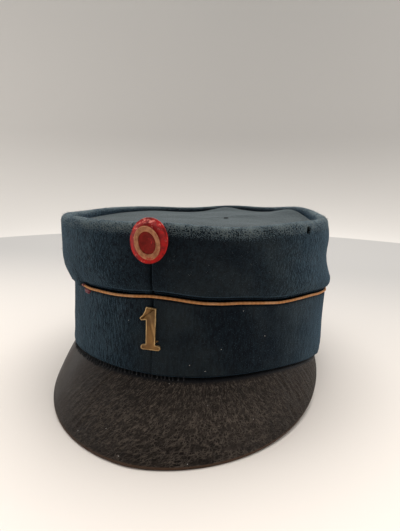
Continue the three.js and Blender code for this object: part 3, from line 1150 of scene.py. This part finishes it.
def specks_group():
    """Dust and tiny pale specks, as a mask."""
    inputs = {"Vector": "Vector", "Amount": "Float"}
    tree, given, result = shader_group("dust_specks", inputs, {"Mask": "Float"})
    dots = between(tree, cells(tree, given["Vector"], 620.0, "F1"), 0.0, 0.16, 1.0, 0.0)
    sparse = between(tree, grain(tree, given["Vector"], 160, 2), 0.56, 0.68)
    haze = between(tree, grain(tree, given["Vector"], 26, 4), 0.4, 0.75, 0.0, 0.3)
    mask = plus(tree, times(tree, dots, sparse), haze)
    feed(tree, result, {"Mask": times(tree, mask, given["Amount"])})
    return tree


def place_group(tree, group, values):
    return add(tree, "ShaderNodeGroup", values, node_tree=group).outputs


def new_material(name, values):
    """A material with a Principled shader. Returns the material, its tree and the shader."""
    material = bpy.data.materials.new(name)
    material.use_nodes = True
    tree = material.node_tree
    tree.nodes.clear()
    shader = add(tree, "ShaderNodeBsdfPrincipled", values)
    add(tree, "ShaderNodeOutputMaterial", {"Surface": shader.outputs["BSDF"]})
    return material, tree, shader


def bump(tree, shader, height, strength, distance):
    values = {"Height": height, "Strength": strength, "Distance": distance}
    feed(tree, shader, {"Normal": add(tree, "ShaderNodeBump", values).outputs["Normal"]})


def rgb(red, green, blue):
    return (red, green, blue, 1.0)


NAVY = rgb(0.0024, 0.0040, 0.0067)
TEAL = rgb(0.0165, 0.031, 0.042)
DUSTY = rgb(0.115, 0.138, 0.137)
SOOT = rgb(0.0042, 0.003, 0.0026)
# BLACK is painted shade, in the cloth's grooves and holes and in the visor's crease.
BLACK = rgb(0.002, 0.003, 0.005)


def wool_material(name, wool, specks, colours, sheen, tint, follow_surface=True):
    """The cap's wool, whose nap runs up the surface, with painted shade inside its seams, folds, creases and
    holes.
    The colours are those of its shade, its light and its dust."""
    values = {"Sheen Weight": sheen, "Sheen Roughness": 0.4, "Sheen Tint": tint, "Specular IOR Level": 0.08}
    material, tree, shader = new_material(name, values)
    solid = solid_place(tree)
    values = dict(zip(("Shade", "Light", "Dust"), colours))
    values["Vector"] = surface_place(tree) if follow_surface else solid
    values |= {"Worn": attribute(tree, "worn"), "Nap": attribute(tree, "nap")}
    cloth = place_group(tree, wool, values)
    dots = place_group(tree, specks, {"Vector": solid, "Amount": 0.35})["Mask"]
    dusted = blend(tree, dots, cloth["Color"], colours[-1])
    # Painted shade: the groove share (seam, folds, tucked lip, creases) and the moth holes darken the cloth
    # towards black.
    painted_shade = most(tree, times(tree, attribute(tree, "groove"), 0.92), attribute(tree, "hole"))
    feed(tree, shader, {"Base Color": blend(tree, painted_shade, dusted, BLACK), "Roughness": cloth["Roughness"]})
    bump(tree, shader, cloth["Height"], 1.0, 0.0011)
    return material


def cord_material():
    """Tan piping: wound thread with painted shade between its turns, and paler rubbed stretches."""
    material, tree, shader = new_material("piping_tan", {"Specular IOR Level": 0.15})
    turns = twist(tree, surface_place(tree), 260.0, 1.5)
    rubbed = between(tree, grain(tree, solid_place(tree), 95, 3), 0.5, 0.68)
    wound = between(tree, turns, 0.2, 0.8)
    # Painted shade: the thread is darker where the turns' bump is low.
    thread = blend(tree, wound, rgb(0.36, 0.155, 0.054), rgb(0.44, 0.20, 0.075))
    worn = blend(tree, times(tree, rubbed, 0.5), thread, rgb(0.5, 0.28, 0.14))
    feed(tree, shader, {"Base Color": worn, "Roughness": between(tree, rubbed, 0, 1, 0.75, 0.6)})
    bump(tree, shader, turns, 0.25, 0.0001)
    return material


def crack_net(tree):
    """The raised lines of cracked leather, from 0 to 1, and how far they reach. Long strokes lean as the
    folds do, a fine net lies towards the front edge, and both fade towards the -X end."""
    surface = surface_place(tree)
    place = axes(tree, surface)
    lean = between(tree, place["X"], 0.13, 0.25, 0.75, -0.55)
    across = plus(tree, place["X"], times(tree, lean, place["Y"]))
    leaning = add(tree, "ShaderNodeCombineXYZ", {"X": across, "Y": place["Y"]}).outputs["Vector"]
    strokes = contour_lines(tree, stretch(tree, leaning, (1.0, 0.26, 1.0)), 760, 0.038)
    fibres = contour_lines(tree, stretch(tree, leaning, (1.0, 0.36, 1.0)), 1150, 0.032)
    wander = add(tree, "ShaderNodeTexNoise", {"Vector": surface, "Scale": 500.0, "Detail": 2.0})
    values = {0: wander.outputs["Color"], 1: (0.0012, 0.0012, 0.0), 2: leaning}
    moved = add(tree, "ShaderNodeVectorMath", values, operation="MULTIPLY_ADD").outputs["Vector"]
    walls = cells(tree, stretch(tree, moved, (1.0, 0.75, 1.0)), 900.0, "DISTANCE_TO_EDGE")
    low = between(tree, place["Y"], 0.012, 0.03, 0.15, 1.0)
    net = times(tree, between(tree, walls, 0.0, 0.1, 0.85, 0), low)
    lines = most(tree, strokes, most(tree, net, times(tree, fibres, 0.7)))
    patches = grain(tree, stretch(tree, leaning, (1.0, 0.5, 1.0)), 620, 2)
    broken = between(tree, patches, 0.36, 0.58, 0.22, 1.0)
    near_end = between(tree, place["X"], 0.2, 0.26, 1.0, 0.6)
    reach = times(tree, between(tree, place["X"], 0.08, 0.14), near_end)
    dimmed = times(tree, reach, between(tree, place["Y"], 0.024, 0.044, 1.0, 0.6))
    return times(tree, times(tree, lines, broken), dimmed), reach


def contour_lines(tree, vector, scale, width):
    """Thin wandering lines where a noise passes its middle value."""
    away = calc(tree, "ABSOLUTE", calc(tree, "SUBTRACT", grain(tree, vector, scale, 2, 0.6), 0.5), 0)
    return between(tree, away, 0, width, 1, 0)


def leather_material(specks):
    """Old black leather gone brown: a net of cracks, a low uneven gloss, a rubbed edge, and painted shade
    that blackens the crease where the visor meets the band."""
    material, tree, shader = new_material("cracked_leather", {"Specular IOR Level": 0.1})
    solid = solid_place(tree)
    patches = grain(tree, solid, 55, 4)
    pores = grain(tree, solid, 1300, 3, 0.7)
    edge = attribute(tree, "edge")
    lines, cracked = crack_net(tree)
    dots = place_group(tree, specks, {"Vector": solid, "Amount": 0.12})["Mask"]
    soot = times(tree, cracked, between(tree, pores, 0.4, 0.6, 0.95, 0.5))
    brown, pale_brown = rgb(0.0135, 0.0095, 0.0072), rgb(0.022, 0.0155, 0.012)
    hide = blend(tree, between(tree, patches, 0.35, 0.7), brown, pale_brown)
    for share, colour in (
        (soot, SOOT),
        (between(tree, pores, 0.55, 0.75, 0, 0.35), rgb(0.032, 0.023, 0.0175)),
        (lines, rgb(0.122, 0.097, 0.077)),
        (between(tree, edge, 0.962, 0.996, 0, 0.85), rgb(0.075, 0.042, 0.026)),
        # Painted shade: black in the crease under the band's lower edge.
        (between(tree, edge, 0.02, 0.07, 1.0, 0), BLACK),
        (dots, rgb(0.24, 0.2, 0.17)),
    ):
        hide = blend(tree, share, hide, colour)
    gloss = plus(tree, between(tree, patches, 0.3, 0.7, 0.42, 0.56), times(tree, cracked, 0.1))
    feed(tree, shader, {"Base Color": hide, "Roughness": gloss})
    bump(tree, shader, plus(tree, times(tree, pores, 0.35), lines), 0.8, 0.00035)
    return material


# The heights in the resting frame, in metres, between which the cockade's flank is worn more and more.
FLANK_WEAR = (0.096, 0.105)


def paint_material(name, colours, worn_from, roughness, flank_shade_from=None):
    """Old brushed paint of two depths, with worn and chipped patches. The colours are the paint's, its deep
    one and the worn one. A flank is darker towards the ring from a share of the oval, as painted shade beside
    the raised ring, and worn towards its upper end."""
    colour, deep, worn_colour = colours
    material, tree, shader = new_material(name, {"Specular IOR Level": 0.14})
    solid = solid_place(tree)
    brushed = between(tree, grain(tree, solid, 420, 4), 0.35, 0.65)
    wear = grain(tree, solid, 480, 5, 0.7)
    if flank_shade_from:
        # Painted shade: the flank turns to the deep colour towards the raised ring.
        flank = between(tree, attribute(tree, "edge"), flank_shade_from, 0.93, 0.25, 1.0)
        brushed = times(tree, brushed, flank)
        wear = plus(tree, wear, between(tree, axes(tree, solid)["Z"], *FLANK_WEAR, 0, 0.11))
    patches = between(tree, wear, worn_from, worn_from + 0.07)
    finished = {
        "Base Color": blend(tree, patches, blend(tree, brushed, deep, colour), worn_colour),
        "Roughness": between(tree, brushed, 0, 1, roughness, roughness + 0.14),
    }
    feed(tree, shader, finished)
    bump(tree, shader, plus(tree, brushed, times(tree, patches, -0.6)), 0.35, 0.00012)
    return material


def brass_material():
    """Dull brass: warm and tarnished in patches, brighter on its bevels and sides, as rubbed brass and a
    painted highlight.
    """
    material, tree, shader = new_material("tarnished_brass", {})
    solid = solid_place(tree)
    tarnish = between(tree, grain(tree, solid, 150, 4, 0.6), 0.36, 0.68)
    colour = blend(tree, tarnish, rgb(0.2, 0.108, 0.04), rgb(0.135, 0.068, 0.024))
    patches = between(tree, grain(tree, solid, 420, 3), 0.35, 0.6, 0.35, 1.0)
    # Rubbing and a painted highlight: the bevels and sides are lightened.
    rubbed = times(tree, attribute(tree, "rub_and_glint"), patches)
    finished = {
        "Base Color": blend(tree, rubbed, colour, rgb(0.5, 0.33, 0.15)),
        "Roughness": between(tree, tarnish, 0, 1, 0.34, 0.55),
        "Metallic": between(tree, tarnish, 0, 1, 0.95, 0.7),
    }
    feed(tree, shader, finished)
    bump(tree, shader, grain(tree, stretch(tree, solid, (1.0, 1.0, 0.15)), 1500, 2), 0.15, 0.0001)
    return material


def thread_material(name, dark, light, sheen=0.3):
    """Twisted thread, for stitches and for small scraps of cloth, lint and loose fibre."""
    values = {"Roughness": 0.9, "Sheen Weight": sheen, "Specular IOR Level": 0.1}
    material, tree, shader = new_material(name, values)
    strands = twist(tree, solid_place(tree), 900.0, 2.0)
    feed(tree, shader, {"Base Color": blend(tree, strands, dark, light)})
    bump(tree, shader, strands, 0.4, 0.0001)
    return material


# ---------------------------------------------------------------- floor, light and camera


def fading_material(name, values, axis, reach, near, far):
    """A plain pale material that changes its colour between two places on one axis of the object."""
    material, tree, shader = new_material(name, values)
    share = between(tree, axes(tree, solid_place(tree))[axis], *reach)
    feed(tree, shader, {"Base Color": blend(tree, share, near, far)})
    return material


# The stage round the cap, in metres, and how many sides it has.
FLOOR_REACH = 0.62
WALL_CURVE = 0.22
WALL_TOP = 1.5
STAGE_SIDES = 128


def build_stage():
    """A round floor of pale paper, painted greyer with the distance as shade, and a wall of pale cloth that
    curves up behind it, painted darker towards its top as shade. Only the camera sees the wall, so it lets
    the light of the surroundings in."""
    # Painted shade: the paper darkens towards the back.
    paper = fading_material(
        "pale_paper", {"Roughness": 0.9, "Specular IOR Level": 0.2}, "Y", (-0.2, 0.32),
        rgb(0.88, 0.82, 0.76), rgb(0.41, 0.4, 0.388),
    )
    # Painted shade: the backdrop darkens upwards.
    cloth = fading_material(
        "pale_backdrop", {"Roughness": 0.95, "Specular IOR Level": 0.1}, "Z", (0.02, 0.75),
        rgb(0.62, 0.595, 0.565), rgb(0.40, 0.388, 0.37),
    )
    bm = bmesh.new()
    bmesh.ops.create_circle(bm, cap_ends=True, segments=STAGE_SIDES, radius=FLOOR_REACH)
    stage_object("floor", bm, paper)
    bm = bmesh.new()
    profile = []
    for turn in shares(14, 0, math.pi / 2):
        aside, up = WALL_CURVE * math.sin(turn), WALL_CURVE * (1 - math.cos(turn))
        profile.append(Vector((FLOOR_REACH + aside, 0, up)))
    profile.append(Vector((FLOOR_REACH + WALL_CURVE, 0, WALL_TOP)))
    open_line(bm, profile)
    spin_about_z(bm, math.tau, STAGE_SIDES, True)
    wall = stage_object("backdrop", bm, cloth)
    for kind in ("diffuse", "glossy", "transmission", "shadow"):
        setattr(wall, f"visible_{kind}", False)


def stage_object(name, bm, material):
    made = mesh_object(name, bm, [material])
    return made


def build_world():
    """The soft light of a white tent: bright above, behind and at the sides, dark towards the front."""
    world = bpy.data.worlds.new("light_tent")
    world.use_nodes = True
    tree = world.node_tree
    tree.nodes.clear()
    direction = add(tree, "ShaderNodeTexCoord").outputs["Generated"]
    parts = axes(tree, direction)
    behind = between(tree, parts["Y"], -0.55, 0.25)
    leaning = plus(tree, times(tree, parts["Z"], 0.83), times(tree, parts["Y"], 0.55))
    above = between(tree, leaning, 0.3, 0.95)
    beside = between(tree, calc(tree, "ABSOLUTE", parts["X"], 0.0), 0.45, 0.95)
    bright = most(tree, most(tree, behind, above), beside)
    strength = between(tree, bright, 0, 1, 0.05, 1.5)
    background = add(tree, "ShaderNodeBackground", {"Color": rgb(1.0, 0.975, 0.95), "Strength": strength})
    add(tree, "ShaderNodeOutputWorld", {"Surface": background.outputs["Background"]})
    bpy.context.scene.world = world


def soft_light(name, place, aim, size, power, colour):
    """A square area light that looks from a place at another."""
    data = bpy.data.lights.new(name, "AREA")
    data.shape = "SQUARE"
    data.size = size
    data.energy = power
    data.color = colour
    light = bpy.data.objects.new(name, data)
    bpy.context.scene.collection.objects.link(light)
    facing = (Vector(aim) - Vector(place)).to_track_quat("-Z", "Y").to_matrix().to_4x4()
    light.matrix_world = Matrix.Translation(Vector(place)) @ facing


CAMERA = {"place": (0.06652, -0.25915, 0.12353), "yaw": 14.234, "pitch": 12.868, "roll": 0.821, "lens": 27.12}


def build_camera():
    data = bpy.data.cameras.new("camera")
    data.sensor_width = 36
    data.lens = CAMERA["lens"]
    data.clip_start = 0.01
    camera = bpy.data.objects.new("camera", data)
    bpy.context.scene.collection.objects.link(camera)
    camera.matrix_world = (
        Matrix.Translation(Vector(CAMERA["place"]))
        @ Matrix.Rotation(math.radians(CAMERA["yaw"]), 4, "Z")
        @ Matrix.Rotation(math.radians(90 - CAMERA["pitch"]), 4, "X")
        @ Matrix.Rotation(math.radians(CAMERA["roll"]), 4, "Z")
    )
    bpy.context.scene.camera = camera


def build_cap():
    wool = wool_group()
    specks = specks_group()
    side_wool = wool_material("blue_wool", wool, specks, (NAVY, TEAL, DUSTY), 0.27, rgb(0.28, 0.53, 0.76))
    greys = (rgb(0.018, 0.025, 0.028), rgb(0.034, 0.046, 0.050), DUSTY)
    top_wool = wool_material("top_wool", wool, specks, greys, 0.26, rgb(0.53, 0.62, 0.65), False)
    # The moth holes' floor: a near-black painted shadow, without sheen.
    shadow = thread_material("hole_shadow", rgb(0.0005, 0.0006, 0.0008), rgb(0.002, 0.002, 0.0025), 0.0)
    dark_thread = thread_material("dark_thread", rgb(0.004, 0.005, 0.007), rgb(0.014, 0.015, 0.017))
    reds = (rgb(0.42, 0.0095, 0.0085), rgb(0.15, 0.0055, 0.005), rgb(0.62, 0.17, 0.13))
    creams = (rgb(0.45, 0.2, 0.1), rgb(0.26, 0.1, 0.045), rgb(0.4, 0.06, 0.035))
    dark_reds = (rgb(0.22, 0.013, 0.009), rgb(0.13, 0.009, 0.006), rgb(0.5, 0.02, 0.014))
    build_band(side_wool)
    build_crown(side_wool, shadow)
    build_crown_top(top_wool)
    build_piping(cord_material())
    build_red_end(thread_material("red_cloth", rgb(0.06, 0.008, 0.016), rgb(0.2, 0.02, 0.03)))
    build_visor(leather_material(specks))
    build_visor_stitches(dark_thread)
    build_cockade(
        paint_material("red_paint", reds, 0.6, 0.55, 0.62),
        paint_material("cream_paint", creams, 0.565, 0.7),
        paint_material("dark_red_paint", dark_reds, 0.58, 0.5),
    )
    build_numeral(brass_material())
    build_numeral_threads(dark_thread)
    build_knot(dark_thread)
    build_lint(thread_material("lint", rgb(0.5, 0.47, 0.43), rgb(0.75, 0.72, 0.68)))
    build_nap(thread_material("pale_fibre", rgb(0.07, 0.09, 0.095), rgb(0.15, 0.165, 0.165)))


build_camera()
build_cap()
build_stage()
build_world()
soft_light("overhead", (0.0, 0.35, 0.95), (0, 0, 0.05), 0.8, 6.0, (1.0, 0.98, 0.95))
soft_light("left", (-1.6, -0.85, 0.13), (0, 0, 0.05), 0.9, 6.2, (0.95, 0.98, 1.0))
bpy.context.scene.view_settings.view_transform = "Standard"
